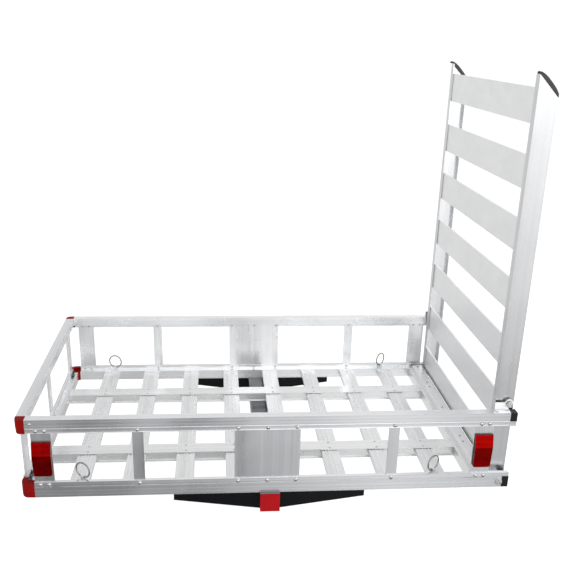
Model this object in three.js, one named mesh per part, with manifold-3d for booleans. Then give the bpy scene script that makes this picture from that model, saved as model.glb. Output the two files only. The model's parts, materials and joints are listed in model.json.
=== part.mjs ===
import * as THREE from 'three';
import { mergeVertices } from 'three/addons/utils/BufferGeometryUtils.js';
import Module from 'manifold-3d';

// Hitch cargo carrier: an open aluminium basket on a steel hitch shank, with a ramp hinged at its right end.
// Units are millimetres. Inside the carrier group, x runs along the basket from its left end, y runs from its
// front face towards the vehicle, and z runs up from the underside of the lower rails.

// Basket
const LENGTH = 1256;
const WIDTH = 745;
const HEIGHT = 217;
const GAP = 0.3;

// Side and end rail extrusions
const UPPER_BOX = 24;
const LOWER_BOX_DEPTH = 28;
const LOWER_BOX_HEIGHT = 30;
const WALL = 2.5;
const FLANGE_SET_BACK = 1.5;
const FLANGE = 2.8;
const UPPER_FLANGE_DROP = 37.5;
const LOWER_FLANGE_TOP = 42;
const INNER_LIP_FACE = 11;
const INNER_LIP = 2.5;
const RAIL_END = 1238;

// Posts and panels, standing between the rails
const POST_THICK = 6;
const POST_MIDDLE = 618;
const CORNER_POST = 49;
const CORNER_POST_OFFSET = 558;
const NARROW_POST = 27.5;
const NARROW_POST_OFFSET = 323;
const PANEL = 166;
const LEFT_END_POST = 40;
const LEFT_END_POST_OFFSET = 317;

// Corner caps and end plugs
const UPPER_CAP = 24;
const LOWER_CAP = 34;
const UPPER_CAP_ROUND = 14;
const LOWER_CAP_ROUND = 20;
const CAP_EDGE_ROUND = 8;
const LOWER_CAP_WALL_TOP = 38;
const SPIGOT_GAP = 0.4;

// Deck
const BAR_TOP = 28;
const BAR_WIDTH = 48;
const BAR_PLATE = 2.4;
const BAR_MIDDLE = 374;
const BAR_PITCH = 184;
const SLAT_COUNT = 8;
const SLAT_FIRST = 115;
const SLAT_PITCH = 133;
const SLAT_WIDTH = 49;
const SLAT_TOP = 25.3;
const SLAT_FOOT = 13;

// Hinge rail
const HINGE_RAIL_LEDGE = 1158;
const HINGE_RAIL_BOX = 1170;
const HINGE_RAIL_OUT = 1201;
const HINGE_RAIL_TOP = 41;

// Ramp
const STILE_IN = 1205;
const STILE_OUT = 1253;
const STILE_DEPTH = 22;
const STILE_SIDE_GAP = 30;
const STILE_FOOT = 4;
const STILE_TOP = 1034;
const STILE_TOP_DROP = 49;
const RUNG_COUNT = 7;
const RUNG_FIRST = 35;
const RUNG_PITCH = 148.5;
const RUNG_HEIGHT = 79;
const RUNG_PLATE = 3.4;
const RUNG_RIB = 14;
const RUNG_RIB_SPREAD = 17;
const HINGE_X = 1229.7;
const HINGE_Z = 16.4;
const HINGE_BOLT = 5;
const LATCH_X = 1237;
const LATCH_Z = 234;
const LATCH_PIN = 4;
const LATCH_PLATE = 37;
const LATCH_UPRIGHT = 19.5;
const LATCH_TRAVEL = 5;
const EAR_FACE = 19;
const EAR_ROUND = 11.5;

// Tie-down rings
const RING_LEFT = 152;
const RING_RIGHT = 1056;
const RING_SIDE = 22;
const RING_AXIS_Z = 43;
const RING_MEAN = 20.5;
const RING_WIRE = 1.9;
const RING_TURNS = { front_left: -30, front_right: 35, rear_left: -15, rear_right: 41 };

// Reflectors
const REFLECTOR_WIDTH = 47;
const REFLECTOR_FOOT = 63.5;
const REFLECTOR_TOP = 155.5;
const REFLECTOR_RIDGE = 122;
const REFLECTOR_PROUD = 9;
const REFLECTOR_ROUND = 7;

// Hitch subframe
const SHANK = 50.8;
const SHANK_WALL = 5;
const SHANK_X = 626;
const SHANK_FRONT = -8;
const SHANK_REAR = 1000;
const PIN_HOLE_Y = 945;
const PIN_HOLE = 8.15;
const WING_HALF = 246.5;
const WING_DEPTH = 30;
const WING_DROP = 47;
const WING_TIP = 17;
const WING_PLATE = 5;

const wasm = await Module();
wasm.setup();

// Materials: each call makes a fresh one, so every mesh owns its own
const aluminium = () => new THREE.MeshStandardMaterial({ color: 0xb9bcc0, roughness: 0.36, metalness: 0.9 });
const redPlastic = () => new THREE.MeshStandardMaterial({ color: 0xb01010, roughness: 0.4, metalness: 0 });
const blackPlastic = () => new THREE.MeshStandardMaterial({ color: 0x141414, roughness: 0.5, metalness: 0 });
const reflectorRed = () => new THREE.MeshStandardMaterial({ color: 0x960606, roughness: 0.15, metalness: 0 });
const blackSteel = () => new THREE.MeshStandardMaterial({ color: 0x15171a, roughness: 0.3, metalness: 0.2 });
const zincSteel = () => new THREE.MeshStandardMaterial({ color: 0xc2c2bf, roughness: 0.3, metalness: 1 });

// Extrusions along each axis. Points are [y, z] along x, [x, z] along y and [x, y] along z.

function extrude(points, length) {
  const shape = new THREE.Shape(points.map(([u, v]) => new THREE.Vector2(u, v)));
  return new THREE.ExtrudeGeometry(shape, { depth: length, bevelEnabled: false, steps: 1 });
}

function alongX(points, from, to) {
  const turn = new THREE.Matrix4().set(0, 0, 1, from, 1, 0, 0, 0, 0, 1, 0, 0, 0, 0, 0, 1);
  return extrude(points, to - from).applyMatrix4(turn);
}

function alongY(points, from, to) {
  const turn = new THREE.Matrix4().set(0, 1, 0, 0, 0, 0, 1, from, 1, 0, 0, 0, 0, 0, 0, 1);
  return extrude(points.map(([x, z]) => [z, x]), to - from).applyMatrix4(turn);
}

function alongZ(points, from, to) {
  return extrude(points, to - from).translate(0, 0, from);
}

function box(x0, x1, y0, y1, z0, z1) {
  const geometry = new THREE.BoxGeometry(x1 - x0, y1 - y0, z1 - z0);
  return geometry.translate((x0 + x1) / 2, (y0 + y1) / 2, (z0 + z1) / 2);
}

// Round bar along y, between two y values
function barY(x, z, radius, from, to, sides = 24) {
  const geometry = new THREE.CylinderGeometry(radius, radius, to - from, sides);
  return geometry.translate(x, (from + to) / 2, z);
}

const rectangle = (u0, u1, v0, v1) => [[u0, v0], [u1, v0], [u1, v1], [u0, v1]];

// Solid joining and cutting

function solid(geometry) {
  const bare = geometry.clone();
  bare.deleteAttribute('normal');
  bare.deleteAttribute('uv');
  const merged = mergeVertices(bare, 1e-4);
  const vertProperties = new Float32Array(merged.attributes.position.array);
  const triVerts = new Uint32Array(merged.index.array);
  return new wasm.Manifold(new wasm.Mesh({ numProp: 3, vertProperties, triVerts }));
}

function carve(added, removed = []) {
  let body = solid(added[0]);
  for (const piece of added.slice(1)) body = body.add(solid(piece));
  for (const piece of removed) body = body.subtract(solid(piece));
  const mesh = body.getMesh();
  const geometry = new THREE.BufferGeometry();
  geometry.setAttribute('position', new THREE.BufferAttribute(mesh.vertProperties, 3));
  geometry.setIndex(new THREE.BufferAttribute(mesh.triVerts, 1));
  geometry.computeVertexNormals();
  return geometry;
}

const carrier = new THREE.Group();
const ramp = new THREE.Group();

function place(parent, name, geometry, material, x = 0, y = 0, z = 0) {
  const mesh = new THREE.Mesh(geometry, material);
  mesh.name = name;
  mesh.position.set(x, y, z);
  parent.add(mesh);
  return mesh;
}

// A side is described from its own outer face inwards: "front" faces -y and "rear" faces +y
const SIDES = [
  { name: 'front', y: (inwards) => inwards, sign: 1 },
  { name: 'rear', y: (inwards) => WIDTH - inwards, sign: -1 },
];

// Section points of the rails, as [distance in from the outer face, height]

function upperRailSection() {
  const back = FLANGE_SET_BACK + FLANGE;
  const low = HEIGHT - UPPER_BOX;
  const foot = HEIGHT - UPPER_FLANGE_DROP;
  return [[0, HEIGHT], [UPPER_BOX, HEIGHT], [UPPER_BOX, low], [back, low], [back, foot],
    [FLANGE_SET_BACK, foot], [FLANGE_SET_BACK, low + 0.3], [0, low + 1]];
}

function upperRailBore() {
  return rectangle(WALL, UPPER_BOX - WALL, HEIGHT - UPPER_BOX + WALL, HEIGHT - WALL);
}

function lowerRailSection() {
  const back = FLANGE_SET_BACK + FLANGE;
  const lip = INNER_LIP_FACE + INNER_LIP;
  const floor = LOWER_BOX_HEIGHT - 0.6;
  const lipTop = LOWER_FLANGE_TOP - 0.8;
  return [[0, 0], [LOWER_BOX_DEPTH, 0], [LOWER_BOX_DEPTH, LOWER_BOX_HEIGHT - 0.4], [lip, LOWER_BOX_HEIGHT],
    [lip, lipTop], [INNER_LIP_FACE, lipTop], [INNER_LIP_FACE, floor], [back, floor],
    [back, LOWER_FLANGE_TOP], [FLANGE_SET_BACK, LOWER_FLANGE_TOP],
    [FLANGE_SET_BACK, LOWER_BOX_HEIGHT - 0.2], [0, LOWER_BOX_HEIGHT - 1]];
}

function lowerRailBore() {
  return rectangle(WALL, LOWER_BOX_DEPTH - WALL, WALL, LOWER_BOX_HEIGHT - WALL);
}

const onSide = (side, points) => points.map(([inwards, z]) => [side.y(inwards), z]);

// A box given by its reach in from a side's outer face
function sideBox(side, x0, x1, in0, in1, z0, z1) {
  const a = side.y(in0);
  const b = side.y(in1);
  return box(x0, x1, Math.min(a, b), Math.max(a, b), z0, z1);
}

function sideBar(side, x, z, radius, in0, in1) {
  const a = side.y(in0);
  const b = side.y(in1);
  return barY(x, z, radius, Math.min(a, b), Math.max(a, b));
}

// Angle plate on the rail's top, whose upright ends in a rounded ear for the latch pin
function latchBracket(side) {
  const start = RAIL_END - LATCH_PLATE;
  const end = RAIL_END - GAP;
  const back = EAR_FACE + 3;
  const level = [[start, back], [start, 12], [start + 6, 6], [end, 6], [end, back]];
  const plate = alongZ(level.map(([x, y]) => [x, side.y(y)]), HEIGHT - 0.2, HEIGHT + 2.6);
  const upright = sideBox(side, start, end, EAR_FACE, back - 0.1, HEIGHT, HEIGHT + LATCH_UPRIGHT);
  const neck = sideBox(side, LATCH_X - EAR_ROUND, end, EAR_FACE, back, HEIGHT + 8, LATCH_Z);
  const ear = sideBar(side, LATCH_X, LATCH_Z, EAR_ROUND, EAR_FACE, back);
  return [plate, upright, neck, ear];
}

// The box stops short of the rail's end, where the end plug sits; its flanges run on past the plug
function endCutback(side, depth, z0, z1) {
  return sideBox(side, RAIL_END, LENGTH + 5, -1, depth + 1, z0, z1);
}

function upperSideRail(side) {
  const rail = alongX(onSide(side, upperRailSection()), UPPER_CAP + GAP, LENGTH);
  const bore = alongX(onSide(side, upperRailBore()), 0, LENGTH);
  const pinHole = sideBar(side, LATCH_X, LATCH_Z, LATCH_PIN + 0.25, EAR_FACE - 4, EAR_FACE + 8);
  const cutback = endCutback(side, UPPER_BOX, HEIGHT - UPPER_BOX - GAP, HEIGHT + 1);
  return carve([carve([rail], [cutback]), ...latchBracket(side)], [bore, pinHole]);
}

// The two tie-down rings of a side, with where each stands and how far it is turned about the upright
function ringsOn(side) {
  return [['left', RING_LEFT], ['right', RING_RIGHT]].map(([end, x]) => {
    const turn = THREE.MathUtils.degToRad(RING_TURNS[`${side.name}_${end}`]);
    return { name: `ring_${side.name}_${end}`, x, y: side.y(RING_SIDE), turn };
  });
}

// Saddle on the rail's ledge that holds a ring's wire, and the slot through it that the wire turns in
function ringSaddle(ring) {
  const saddle = box(-4, 4, -5.5, 5.5, LOWER_BOX_HEIGHT - 1, RING_AXIS_Z + 5);
  return saddle.rotateZ(ring.turn).translate(ring.x, ring.y, 0);
}

function ringSlot(ring) {
  const slot = box(-9, 9, -2.8, 2.8, RING_AXIS_Z - 2.8, RING_AXIS_Z + 2.8);
  return slot.rotateZ(ring.turn).translate(ring.x, ring.y, 0);
}

function lowerSideRail(side) {
  const rail = alongX(onSide(side, lowerRailSection()), LOWER_CAP + GAP, LENGTH);
  const bore = alongX(onSide(side, lowerRailBore()), 0, LENGTH);
  const rings = ringsOn(side);
  const boltHole = sideBar(side, HINGE_X, HINGE_Z, HINGE_BOLT + GAP, -5, LOWER_BOX_DEPTH + 5);
  const cutback = endCutback(side, LOWER_BOX_DEPTH, -1, LOWER_BOX_HEIGHT + GAP);
  return carve([rail, ...rings.map(ringSaddle)], [bore, cutback, boltHole, ...rings.map(ringSlot)]);
}

function addSideRails() {
  for (const side of SIDES) {
    place(carrier, `rail_upper_${side.name}`, upperSideRail(side), aluminium());
    place(carrier, `rail_lower_${side.name}`, lowerSideRail(side), aluminium());
  }
}

function addLeftRails() {
  const upperEnd = UPPER_CAP + GAP;
  const lowerEnd = LOWER_CAP + GAP;
  const upper = alongY(upperRailSection(), upperEnd, WIDTH - upperEnd);
  const lower = alongY(lowerRailSection(), lowerEnd, WIDTH - lowerEnd);
  const upperBore = alongY(upperRailBore(), 0, WIDTH);
  const lowerBore = alongY(lowerRailBore(), 0, WIDTH);
  place(carrier, 'rail_upper_left', carve([upper], [upperBore]), aluminium());
  place(carrier, 'rail_lower_left', carve([lower], [lowerBore]), aluminium());
}

// Right end rail: a box beside the ramp's foot, with a lower ledge that the deck bars meet
function addHingeRail() {
  const section = [[HINGE_RAIL_LEDGE, 0], [HINGE_RAIL_OUT, 0], [HINGE_RAIL_OUT, HINGE_RAIL_TOP],
    [HINGE_RAIL_BOX, HINGE_RAIL_TOP], [HINGE_RAIL_BOX, BAR_TOP], [HINGE_RAIL_LEDGE, BAR_TOP]];
  const bore = rectangle(HINGE_RAIL_BOX + WALL, HINGE_RAIL_OUT - WALL, WALL, HINGE_RAIL_TOP - WALL);
  const from = LOWER_BOX_DEPTH + GAP;
  const rail = alongY(section, from, WIDTH - from);
  place(carrier, 'rail_hinge', carve([rail], [alongY(bore, 0, WIDTH)]), aluminium());
}

// Flat post section in x and y, very slightly crowned, with shallow grooves down both faces
function postSection(width, grooves, side) {
  const outer = FLANGE_SET_BACK + FLANGE + GAP;
  const inner = outer + POST_THICK;
  const face = (level, into) => {
    const at = (x, dip) => [x, level + into * (dip + 0.25 * ((2 * x) / width) ** 2)];
    const points = [at(-width / 2, 0)];
    for (let i = 0; i < grooves; i += 1) {
      const x = (width * (i + 1)) / (grooves + 1) - width / 2;
      points.push(at(x - 1.4, 0), at(x - 1, 0.4), at(x + 1, 0.4), at(x + 1.4, 0));
    }
    points.push(at(width / 2, 0));
    return points;
  };
  const loop = [...face(outer, 1), ...face(inner, -1).reverse()];
  return loop.map(([x, inwards]) => [x, side.y(inwards)]);
}

function addPost(name, side, x, width, grooves) {
  const from = LOWER_BOX_HEIGHT + GAP;
  const to = HEIGHT - UPPER_BOX - GAP;
  const geometry = alongZ(postSection(width, grooves, side), from, to);
  place(carrier, name, geometry, aluminium(), x);
}

function addSidePosts() {
  for (const side of SIDES) {
    addPost(`post_corner_${side.name}_left`, side, POST_MIDDLE - CORNER_POST_OFFSET, CORNER_POST, 0);
    addPost(`post_narrow_${side.name}_left`, side, POST_MIDDLE - NARROW_POST_OFFSET, NARROW_POST, 0);
    addPost(`panel_centre_${side.name}`, side, POST_MIDDLE, PANEL, 7);
    addPost(`post_narrow_${side.name}_right`, side, POST_MIDDLE + NARROW_POST_OFFSET, NARROW_POST, 0);
    addPost(`post_corner_${side.name}_right`, side, POST_MIDDLE + CORNER_POST_OFFSET, CORNER_POST, 0);
  }
}

function addLeftPosts() {
  const outer = FLANGE_SET_BACK + FLANGE + GAP;
  const from = LOWER_BOX_HEIGHT + GAP;
  const to = HEIGHT - UPPER_BOX - GAP;
  const posts = [['front', -LEFT_END_POST_OFFSET, LEFT_END_POST], ['middle', 0, NARROW_POST],
    ['rear', LEFT_END_POST_OFFSET, LEFT_END_POST]];
  for (const [name, offset, width] of posts) {
    const geometry = box(outer, outer + POST_THICK, -width / 2, width / 2, from, to);
    place(carrier, `post_left_${name}`, geometry, aluminium(), 0, WIDTH / 2 + offset);
  }
}

// Corner caps: a rounded block on both rails' ends, a skirt that follows their flanges, and two spigots

// Quarter circle about (radius, radius) from the end's face round to the side's face
function cornerArc(inset, radius) {
  return [0, 1, 2, 3, 4, 5].map((i) => {
    const a = (i / 5) * (Math.PI / 2);
    return [radius - (radius - inset) * Math.cos(a), radius - (radius - inset) * Math.sin(a)];
  });
}

function cornerBlock(side, size, inner, radius, z0, z1) {
  const insideCorner = inner < size ? [[size, inner], [inner, size]] : [[size, size]];
  const points = [[size, 0], ...insideCorner, [0, size], ...cornerArc(0, radius)];
  return alongZ(points.map(([x, y]) => [x, side.y(y)]), z0, z1);
}

function cornerSkirt(side, size, face, thick, radius, z0, z1) {
  const back = face + thick;
  const turn = back + 5;
  const points = [[size, face], [size, back], [turn, back], [back, turn], [back, size], [face, size],
    ...cornerArc(face, radius)];
  return alongZ(points.map(([x, y]) => [x, side.y(y)]), z0, z1);
}

// Waste outside the rounded edge between a cap's end face and its foot
function footRounding(side, size, radius, foot) {
  const arc = cornerArc(0, radius).map(([x, z]) => [x, foot + z]);
  const points = [...arc, [radius + 0.1, foot - 1], [-1, foot - 1], [-1, foot + radius + 0.1]];
  const a = side.y(-1);
  const b = side.y(size + 30);
  return alongY(points, Math.min(a, b), Math.max(a, b));
}

function capSpigots(side, size, length, depth, z0, z1) {
  const near = WALL + SPIGOT_GAP;
  const far = depth - WALL - SPIGOT_GAP;
  const low = z0 + WALL + SPIGOT_GAP;
  const high = z1 - WALL - SPIGOT_GAP;
  const alongSide = sideBox(side, size - 1, size + length, near, far, low, high);
  const alongEnd = sideBox(side, near, far, size - 1, size + length, low, high);
  return [alongSide, alongEnd];
}

function upperCap(side) {
  const low = HEIGHT - UPPER_BOX;
  const foot = HEIGHT - UPPER_FLANGE_DROP;
  const face = FLANGE_SET_BACK - 0.8;
  const block = cornerBlock(side, UPPER_CAP, UPPER_CAP, UPPER_CAP_ROUND, low, HEIGHT);
  const skirt = cornerSkirt(side, UPPER_CAP, face, FLANGE + 0.8, UPPER_CAP_ROUND, foot, low + 0.5);
  const rounding = footRounding(side, UPPER_CAP, CAP_EDGE_ROUND, foot);
  return carve([block, skirt, ...capSpigots(side, UPPER_CAP, 14, UPPER_BOX, low, HEIGHT)], [rounding]);
}

function lowerCap(side) {
  const top = LOWER_BOX_HEIGHT;
  const reach = INNER_LIP_FACE + INNER_LIP;
  const block = cornerBlock(side, LOWER_CAP, LOWER_BOX_DEPTH, LOWER_CAP_ROUND, 0, top);
  const skirt = cornerSkirt(side, LOWER_CAP, 0, reach, LOWER_CAP_ROUND, top - 0.5, LOWER_CAP_WALL_TOP);
  const rounding = footRounding(side, LOWER_CAP, CAP_EDGE_ROUND, 0);
  return carve([block, skirt, ...capSpigots(side, LOWER_CAP, 12, LOWER_BOX_DEPTH, 0, top)], [rounding]);
}

function addCornerCaps() {
  for (const side of SIDES) {
    place(carrier, `cap_upper_${side.name}`, upperCap(side), redPlastic());
    place(carrier, `cap_lower_${side.name}`, lowerCap(side), redPlastic());
  }
}

// Plug in a side rail's right end: a head the size of the rail's box and a spigot inside it
function endPlug(side, depth, z0, z1, reach) {
  const near = WALL + SPIGOT_GAP;
  const head = sideBox(side, RAIL_END + GAP, LENGTH, 0, depth, z0, z1);
  const low = z0 + WALL + SPIGOT_GAP;
  const high = z1 - WALL - SPIGOT_GAP;
  const spigot = sideBox(side, RAIL_END - reach, RAIL_END + 1, near, depth - near, low, high);
  return carve([head, spigot]);
}

function addEndPlugs() {
  for (const side of SIDES) {
    const low = HEIGHT - UPPER_BOX;
    const upper = endPlug(side, UPPER_BOX, low, HEIGHT - 0.5, 14);
    const lower = endPlug(side, LOWER_BOX_DEPTH, 0, LOWER_BOX_HEIGHT, 2);
    place(carrier, `plug_upper_${side.name}`, upper, blackPlastic());
    place(carrier, `plug_lower_${side.name}`, lower, blackPlastic());
  }
}

// Deck bar: a box tube with a wider top plate and foot, with a window through it for every slat
function deckBar() {
  const half = BAR_WIDTH / 2;
  const web = half - 5;
  const under = BAR_TOP - BAR_PLATE;
  const edge = 0.5;
  const section = [[-half, 0], [half, 0], [half, BAR_PLATE - edge], [web, BAR_PLATE], [web, under],
    [half, under + edge], [half, BAR_TOP], [-half, BAR_TOP], [-half, under + edge], [-web, under],
    [-web, BAR_PLATE], [-half, BAR_PLATE - edge]];
  const bar = alongX(section, LOWER_BOX_DEPTH + GAP, HINGE_RAIL_LEDGE - GAP);
  const bore = alongX(rectangle(-web + WALL, web - WALL, BAR_PLATE, under), 0, LENGTH);
  const windows = [];
  for (let i = 0; i < SLAT_COUNT; i += 1) {
    const x = SLAT_FIRST + i * SLAT_PITCH;
    windows.push(box(x - GAP, x + SLAT_WIDTH + GAP, -half - 5, half + 5, SLAT_FOOT - GAP, under));
  }
  return carve([bar], [bore, ...windows]);
}

function addDeckBars() {
  place(carrier, 'deck_bar_front', deckBar(), aluminium(), 0, BAR_MIDDLE - BAR_PITCH);
  place(carrier, 'deck_bar_middle', deckBar(), aluminium(), 0, BAR_MIDDLE);
  place(carrier, 'deck_bar_rear', deckBar(), aluminium(), 0, BAR_MIDDLE + BAR_PITCH);
}

// Slat: a shallow channel, open underneath, with ribs along its top
function slatSection() {
  const ribs = 6;
  const camber = (x) => 0.3 * Math.sin((Math.PI * x) / SLAT_WIDTH);
  const valley = (x) => [x, SLAT_TOP - 1.1 + camber(x)];
  const crest = (x) => [x, SLAT_TOP - 0.3 + camber(x)];
  const points = [[0, SLAT_FOOT], valley(0)];
  for (let i = 0; i < ribs; i += 1) {
    const x = (SLAT_WIDTH * (i + 0.5)) / ribs;
    points.push(valley(x - 2.6), crest(x - 1.9), crest(x + 1.9), valley(x + 2.6));
  }
  points.push(valley(SLAT_WIDTH), [SLAT_WIDTH, SLAT_FOOT], [SLAT_WIDTH - WALL, SLAT_FOOT]);
  points.push([SLAT_WIDTH - WALL, SLAT_TOP - 3.6], [WALL, SLAT_TOP - 3.6], [WALL, SLAT_FOOT]);
  return points;
}

function addSlats() {
  const from = LOWER_BOX_DEPTH + GAP;
  for (let i = 0; i < SLAT_COUNT; i += 1) {
    const geometry = alongY(slatSection(), from, WIDTH - from);
    place(carrier, `deck_slat_${i + 1}`, geometry, aluminium(), SLAT_FIRST + i * SLAT_PITCH);
  }
}

// Tie-down ring: a closed wire ring standing on its lowest point, which is its hinge axis
function ringGeometry() {
  const profile = [];
  for (let i = 0; i <= 8; i += 1) {
    const a = (i % 8) * (Math.PI / 4) + Math.PI / 8;
    profile.push(new THREE.Vector2(RING_MEAN + RING_WIRE * Math.cos(a), RING_WIRE * Math.sin(a)));
  }
  return new THREE.LatheGeometry(profile, 28);
}

function addRings() {
  const centre = RING_AXIS_Z + RING_MEAN;
  for (const ring of SIDES.flatMap(ringsOn)) {
    const mesh = place(carrier, ring.name, ringGeometry(), zincSteel(), ring.x, ring.y, centre);
    mesh.rotation.z = ring.turn;
  }
}

// Reflector outline in x and z, square at the top and rounded at its foot
function reflectorOutline() {
  const half = REFLECTOR_WIDTH / 2;
  const shape = new THREE.Path();
  shape.moveTo(-half, REFLECTOR_TOP);
  shape.lineTo(-half + 0.5, REFLECTOR_FOOT + REFLECTOR_ROUND);
  shape.quadraticCurveTo(-half + 1, REFLECTOR_FOOT, -half + REFLECTOR_ROUND, REFLECTOR_FOOT);
  shape.lineTo(half - REFLECTOR_ROUND, REFLECTOR_FOOT);
  shape.quadraticCurveTo(half - 1, REFLECTOR_FOOT, half - 0.5, REFLECTOR_FOOT + REFLECTOR_ROUND);
  shape.lineTo(half, REFLECTOR_TOP);
  return shape.getPoints(5).map((point) => [point.x, point.y]);
}

// Reflector: two facets that meet at a ridge, standing on the outer face of a front corner post
function reflector() {
  const back = FLANGE_SET_BACK + FLANGE;
  const far = -REFLECTOR_PROUD - 10;
  const upperWaste = [[far, REFLECTOR_RIDGE], [-REFLECTOR_PROUD, REFLECTOR_RIDGE], [-1, REFLECTOR_TOP + 0.2],
    [-1, REFLECTOR_TOP + 9], [far, REFLECTOR_TOP + 9]];
  const lowerWaste = [[far, REFLECTOR_FOOT - 9], [-5, REFLECTOR_FOOT - 9], [-5, REFLECTOR_FOOT - 0.2],
    [-REFLECTOR_PROUD, REFLECTOR_RIDGE], [far, REFLECTOR_RIDGE]];
  const waste = [upperWaste, lowerWaste].map((points) => alongX(points, -REFLECTOR_WIDTH, REFLECTOR_WIDTH));
  return carve([alongY(reflectorOutline(), -REFLECTOR_PROUD, back)], waste);
}

function addReflectors() {
  for (const [name, sign] of [['left', -1], ['right', 1]]) {
    const x = POST_MIDDLE + sign * CORNER_POST_OFFSET;
    place(carrier, `reflector_${name}`, reflector(), reflectorRed(), x);
  }
}

// Ramp stile outline in x and z, cut off at a slope along its top
function stileOutline() {
  return [[STILE_IN, STILE_TOP], [STILE_IN, STILE_FOOT], [STILE_OUT, STILE_FOOT],
    [STILE_OUT, STILE_TOP - STILE_TOP_DROP]];
}

// A stile is a channel with its web outwards and its open side towards the rungs
function stile(side) {
  const near = side.y(STILE_SIDE_GAP);
  const far = side.y(STILE_SIDE_GAP + STILE_DEPTH);
  const body = alongY(stileOutline(), Math.min(near, far), Math.max(near, far));
  const x0 = STILE_IN + WALL;
  const x1 = STILE_OUT - WALL;
  const reach = STILE_SIDE_GAP + WALL;
  const channel = sideBox(side, x0, x1, reach, reach + STILE_DEPTH, STILE_FOOT - 5, STILE_TOP + 5);
  const hinge = sideBar(side, HINGE_X, HINGE_Z, HINGE_BOLT + 0.12, STILE_SIDE_GAP - 5, STILE_SIDE_GAP + 5);
  const latch = sideBar(side, LATCH_X, LATCH_Z, LATCH_PIN + 0.5, STILE_SIDE_GAP - 5, STILE_SIDE_GAP + 5);
  return carve([body], [channel, hinge, latch]);
}

function addStiles() {
  for (const side of SIDES) {
    place(ramp, `ramp_stile_${side.name}`, stile(side), aluminium());
  }
}

// Rung section: a flat plate facing the basket, very slightly crowned, with two stiffening ribs behind it
function rungSection() {
  const x0 = STILE_IN + WALL + GAP;
  const half = RUNG_HEIGHT / 2;
  const back = x0 + RUNG_PLATE;
  const ribs = [-1, 1].flatMap((sign) => {
    const z = half + sign * RUNG_RIB_SPREAD;
    return [[back, z - 1.6], [back + RUNG_RIB, z - 1.4], [back + RUNG_RIB, z + 1.4], [back, z + 1.6]];
  });
  return [[x0 + 0.2, 0], [back + 2.6, 0], [back + 2.6, 3], [back + 0.1, 3.4], ...ribs,
    [back + 0.1, RUNG_HEIGHT - 3.4], [back + 2.6, RUNG_HEIGHT - 3], [back + 2.6, RUNG_HEIGHT],
    [x0 + 0.2, RUNG_HEIGHT], [x0, half]];
}

function addRungs() {
  const from = STILE_SIDE_GAP + WALL + GAP;
  for (let i = 0; i < RUNG_COUNT; i += 1) {
    const geometry = alongY(rungSection(), from, WIDTH - from);
    place(ramp, `ramp_rung_${i + 1}`, geometry, aluminium(), 0, 0, RUNG_FIRST + i * RUNG_PITCH);
  }
}

// A turned piece along y, from [radius, distance in from the side's outer face] points
function turned(side, profile, sides) {
  const points = profile.map(([radius, inwards]) => new THREE.Vector2(radius, side.sign * inwards));
  if (side.sign < 0) points.reverse();
  return new THREE.LatheGeometry(points, sides);
}

// Hinge bolt: head on the rail's outer face, shank through rail and stile, nut inside the stile's channel
function addHingeBolts() {
  const nut = STILE_SIDE_GAP + WALL + GAP;
  const profile = [[0, -4.5], [8, -4.5], [9, -3.5], [9, -GAP], [HINGE_BOLT, -GAP], [HINGE_BOLT, nut],
    [8.5, nut], [8.5, nut + 6], [HINGE_BOLT, nut + 6], [HINGE_BOLT, nut + 9], [0, nut + 9]];
  for (const side of SIDES) {
    const geometry = turned(side, profile, 24);
    place(carrier, `hinge_bolt_${side.name}`, geometry, zincSteel(), HINGE_X, side.y(0), HINGE_Z);
  }
}

// Latch pin: a knob outside the ear, with its tip just short of the stile while it is drawn back
function addLatchPins() {
  const knob = EAR_FACE - LATCH_TRAVEL - 0.6;
  const tip = STILE_SIDE_GAP - 0.5;
  const profile = [[0, knob - 4.4], [6.6, knob - 4.2], [8.1, knob - 3], [8.1, knob - 0.8], [7.4, knob],
    [LATCH_PIN, knob], [LATCH_PIN, tip - 1], [LATCH_PIN - 1, tip], [0, tip]];
  for (const side of SIDES) {
    const geometry = turned(side, profile, 20);
    place(carrier, `latch_pin_${side.name}`, geometry, zincSteel(), LATCH_X, side.y(0), LATCH_Z);
  }
}

// Cross bracket outline in x and z: level along its top and deepest beside the shank
function wingOutline(inset) {
  const half = SHANK / 2 + 3;
  const top = -GAP - inset;
  const reach = WING_HALF - inset;
  return [[-reach, top], [reach, top], [reach, -WING_TIP + inset], [half, -WING_DROP + inset],
    [-half, -WING_DROP + inset], [-reach, -WING_TIP + inset]];
}

// Steel shank with a tapered channel bracket welded across it under the front and the rear rail
function hitchSubframe() {
  const half = SHANK / 2;
  const foot = -GAP - SHANK;
  const shank = box(-half, half, SHANK_FRONT, SHANK_REAR, foot, -GAP);
  const added = [shank];
  const removed = [];
  for (const from of [0, WIDTH - WING_DEPTH]) {
    const deep = from + WING_DEPTH;
    added.push(alongY(wingOutline(0), from, deep));
    for (const sign of [-1, 1]) {
      const inner = sign * (half + 1);
      const outer = sign * (WING_HALF - WING_PLATE);
      const low = -WING_DROP - 20;
      const high = -GAP - WING_PLATE;
      const x0 = Math.min(inner, outer);
      const x1 = Math.max(inner, outer);
      removed.push(box(x0, x1, from + WING_PLATE, deep - WING_PLATE, low, high));
    }
  }
  const hollow = half - SHANK_WALL;
  const low = foot + SHANK_WALL;
  const high = -GAP - SHANK_WALL;
  removed.push(box(-hollow, hollow, SHANK_FRONT - 5, SHANK_REAR + 5, low, high));
  const pin = new THREE.CylinderGeometry(PIN_HOLE, PIN_HOLE, SHANK + 20, 32).rotateZ(Math.PI / 2);
  removed.push(pin.translate(0, PIN_HOLE_Y, -GAP - half));
  return carve(added, removed);
}

function addSubframe() {
  place(carrier, 'hitch_subframe', hitchSubframe(), blackSteel(), SHANK_X);
}

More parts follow.
